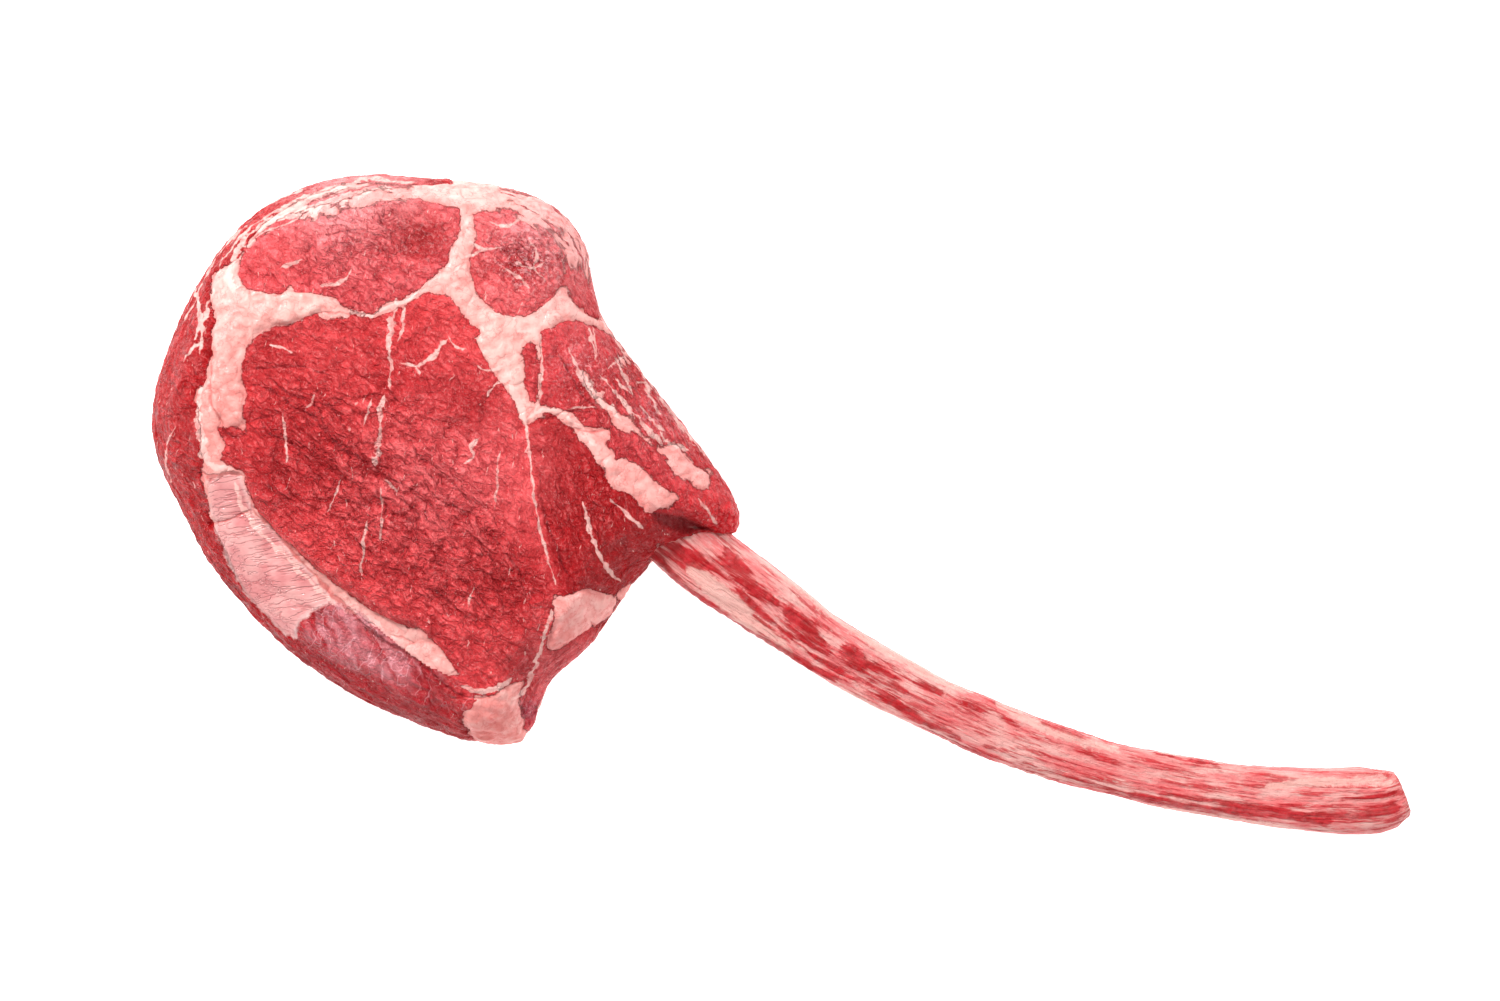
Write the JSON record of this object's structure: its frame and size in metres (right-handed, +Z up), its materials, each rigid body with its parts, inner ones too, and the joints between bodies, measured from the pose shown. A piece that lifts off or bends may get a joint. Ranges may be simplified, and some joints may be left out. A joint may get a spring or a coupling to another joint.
{
  "type": "raw tomahawk rib steak",
  "caption": "Thick raw beef rib steak lying flat, with marbled muscles set in seam fat and a long curved scraped rib bone.",
  "frame": {"origin": "middle of the base of the whole object's box, on the surface it lies on", "axes": "+X along the object from the meat to the sawn end of the rib, +Y towards the top of the picture, +Z up through the upper cut face"},
  "size_m": [0.4882, 0.256, 0.0509],
  "materials": {
    "lean": "moist raw lean meat, satin with small wet highlights",
    "dark_lean": "moist dark raw lean meat",
    "pale_lean": "moist pale raw lean meat with streaks of fat",
    "fat": "waxy pale pink raw fat",
    "bone": "scraped raw rib bone with red streaks"
  },
  "bodies": {
    "root": {"eye_muscle": "lean", "side_muscle": "dark_lean", "upper_muscle": "pale_lean", "corner_muscle": "pale_lean", "rib_meat": "pale_lean", "cap_muscle": "dark_lean", "seam_fat": "fat", "rib_bone": "bone"}
  },
  "joints": []
}
